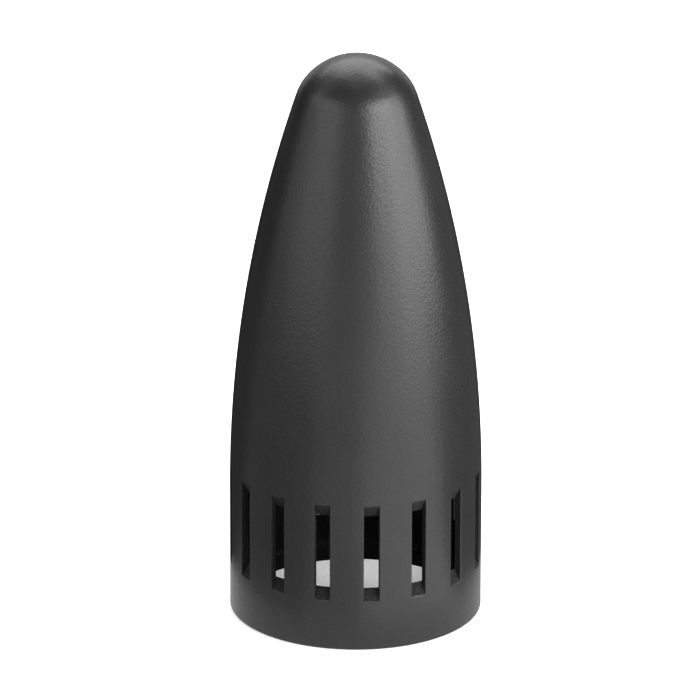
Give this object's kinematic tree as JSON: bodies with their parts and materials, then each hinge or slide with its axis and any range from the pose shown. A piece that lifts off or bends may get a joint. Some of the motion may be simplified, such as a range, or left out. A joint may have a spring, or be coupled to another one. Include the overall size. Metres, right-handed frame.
{
  "type": "pneumatic exhaust silencer",
  "caption": "Bullet-shaped black hood silencer for compressed air exhaust: slotted band at the open wide end, rounded tip, female port and porous cartridge inside.",
  "frame": {"origin": "centre of the open rim's face, on the axis", "axes": "+Z along the axis, from the open rim to the rounded tip; -Y is the side towards the viewer, +X to the viewer's right"},
  "size_m": [0.06, 0.06, 0.1372],
  "materials": {
    "hood_plastic": "charcoal black glass-filled nylon with a fine eroded texture, satin",
    "ring_plastic": "charcoal black nylon, fine satin",
    "carrier_plastic": "black glass-filled nylon, matt",
    "spring_steel": "phosphated spring steel, dark grey",
    "port_metal": "turned brass with a satin nickel plating",
    "seal_rubber": "black moulded nitrile rubber",
    "gasket_rubber": "dark grey sheet gasket",
    "stainless": "stainless steel, rolled and perforated",
    "sintered_polymer": "off-white sintered granules, grainy",
    "zinc_steel": "blue-passivated zinc plated steel",
    "foam": "charcoal open-cell foam"
  },
  "bodies": {
    "root": {"hood": "hood_plastic", "rim_ring": "ring_plastic", "carrier": "carrier_plastic", "retaining_ring": "spring_steel", "port_bushing": "port_metal", "port_seal": "seal_rubber", "flange_gasket": "gasket_rubber", "ring_nut": "port_metal", "anchor_cross": "stainless", "diffuser_tube": "stainless", "porous_sleeve": "sintered_polymer", "lower_gasket": "gasket_rubber", "upper_gasket": "gasket_rubber", "end_cap": "carrier_plastic", "centering_star": "seal_rubber", "tie_rod": "zinc_steel", "rod_nut": "zinc_steel", "flat_washer": "zinc_steel", "disc_spring": "spring_steel", "lock_nut": "zinc_steel", "dome_foam": "foam"}
  },
  "joints": []
}
